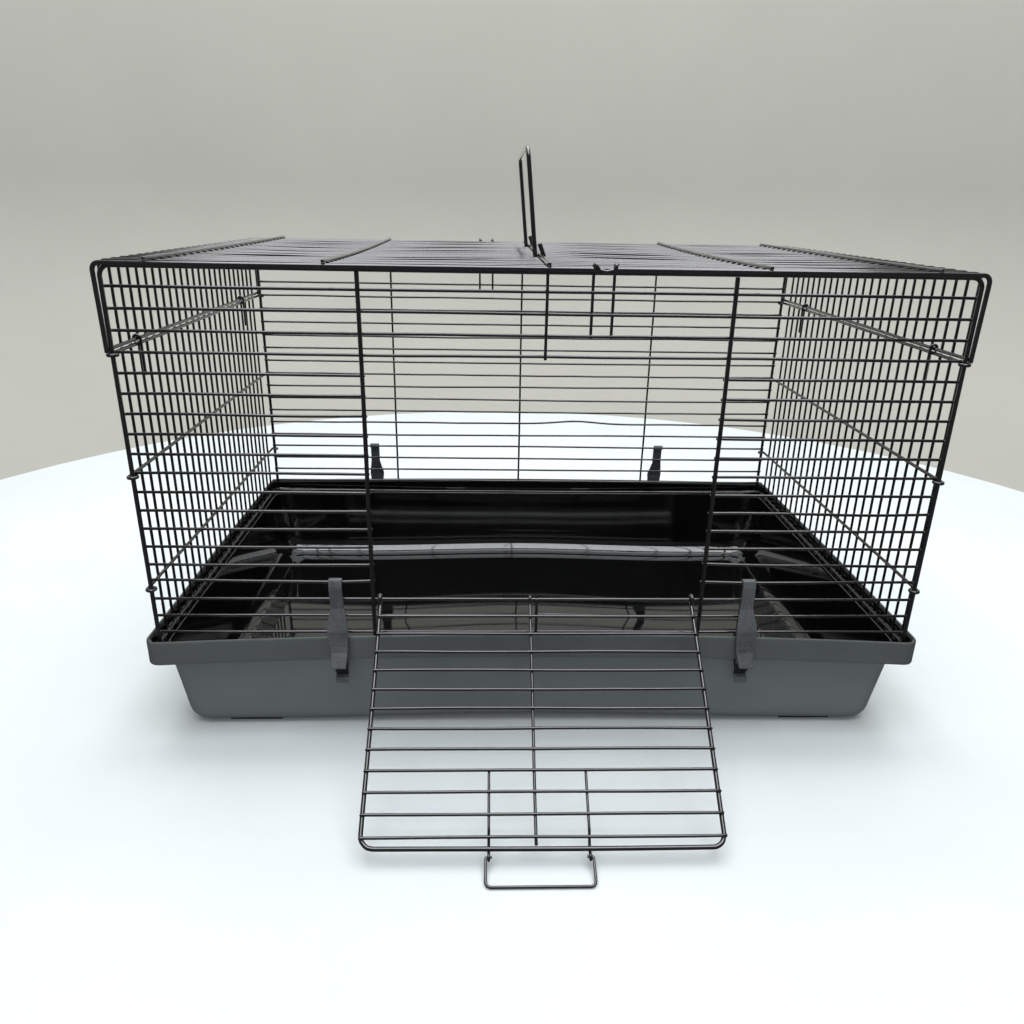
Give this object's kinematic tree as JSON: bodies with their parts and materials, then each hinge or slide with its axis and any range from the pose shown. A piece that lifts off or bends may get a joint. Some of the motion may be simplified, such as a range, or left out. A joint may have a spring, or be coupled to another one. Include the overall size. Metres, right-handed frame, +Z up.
{
  "type": "wire rabbit cage",
  "caption": "Rectangular wire cage for small animals on a deep plastic tray, with a drop-down front door, folding carry handle and snap clips.",
  "frame": {"origin": "centre of the tray in plan, on the plane that its four feet rest on", "axes": "+Z up, -Y towards the door, +X to the right as seen from the door; the long side lies along X"},
  "size_m": [0.6066, 0.5516, 0.4486],
  "materials": {
    "coated_wire": "semi-gloss black coating on steel wire",
    "tray_plastic": "dark grey moulded plastic, satin outside and glossy inside",
    "clip_plastic": "fine matte moulded grey plastic"
  },
  "bodies": {
    "cage": {"back_frame_wire": "coated_wire", "back_grille": "coated_wire", "back_roof_latch": "coated_wire", "back_stay_wires": "coated_wire", "door_jamb_wires": "coated_wire", "front_centre_stays": "coated_wire", "front_frame_wire": "coated_wire", "front_header_grille": "coated_wire", "front_left_grille": "coated_wire", "front_right_grille": "coated_wire", "front_roof_latch": "coated_wire", "front_sill_grille": "coated_wire", "handle_pivot_wire": "coated_wire", "left_side_cross_wires": "coated_wire", "left_side_grille": "coated_wire", "left_side_hooks": "coated_wire", "left_skirt_grille": "coated_wire", "left_skirt_wire": "coated_wire", "right_side_cross_wires": "coated_wire", "right_side_grille": "coated_wire", "right_side_hooks": "coated_wire", "right_skirt_grille": "coated_wire", "right_skirt_wire": "coated_wire", "roof_back_edge_wire": "coated_wire", "roof_cross_wires": "coated_wire", "roof_front_edge_wire": "coated_wire", "roof_grille": "coated_wire", "tray": "tray_plastic", "tray_feet": "tray_plastic"},
    "door": {"door_frame_wire": "coated_wire", "door_grille": "coated_wire", "door_centre_wire": "coated_wire", "door_latch_legs": "coated_wire"},
    "door_latch": {"door_latch_loop": "coated_wire"},
    "handle": {"carry_handle": "coated_wire"},
    "clip_front_left": {"front_left_clip": "clip_plastic"},
    "clip_front_right": {"front_right_clip": "clip_plastic"},
    "clip_back_left": {"back_left_clip": "clip_plastic"},
    "clip_back_right": {"back_right_clip": "clip_plastic"}
  },
  "joints": [
    {"name": "front_door", "type": "hinge", "parent": "cage", "child": "door", "pos_m": [0, -0.18231, 0.1208], "axis": [-1, 0, 0], "range_deg": [0, 124.4]},
    {"name": "door_latch_swing", "type": "hinge", "parent": "door", "child": "door_latch", "pos_m": [-0.0042, -0.3285, 0.00803], "axis": [-1, 0, 0], "range_deg": [0, 115]},
    {"name": "carry_handle_fold", "type": "hinge", "parent": "cage", "child": "handle", "pos_m": [0, 0, 0.36944], "axis": [0, 1, 0], "range_deg": [-81, 96]},
    {"name": "front_left_clip_hinge", "type": "hinge", "parent": "cage", "child": "clip_front_left", "pos_m": [-0.155, -0.18231, 0.1352], "axis": [-1, 0, 0], "range_deg": [0, 105]},
    {"name": "front_right_clip_hinge", "type": "hinge", "parent": "cage", "child": "clip_front_right", "pos_m": [0.163, -0.18231, 0.1352], "axis": [-1, 0, 0], "range_deg": [0, 105]},
    {"name": "back_left_clip_hinge", "type": "hinge", "parent": "cage", "child": "clip_back_left", "pos_m": [-0.174, 0.18231, 0.1352], "axis": [1, 0, 0], "range_deg": [0, 105]},
    {"name": "back_right_clip_hinge", "type": "hinge", "parent": "cage", "child": "clip_back_right", "pos_m": [0.166, 0.18231, 0.1352], "axis": [1, 0, 0], "range_deg": [0, 105]}
  ]
}
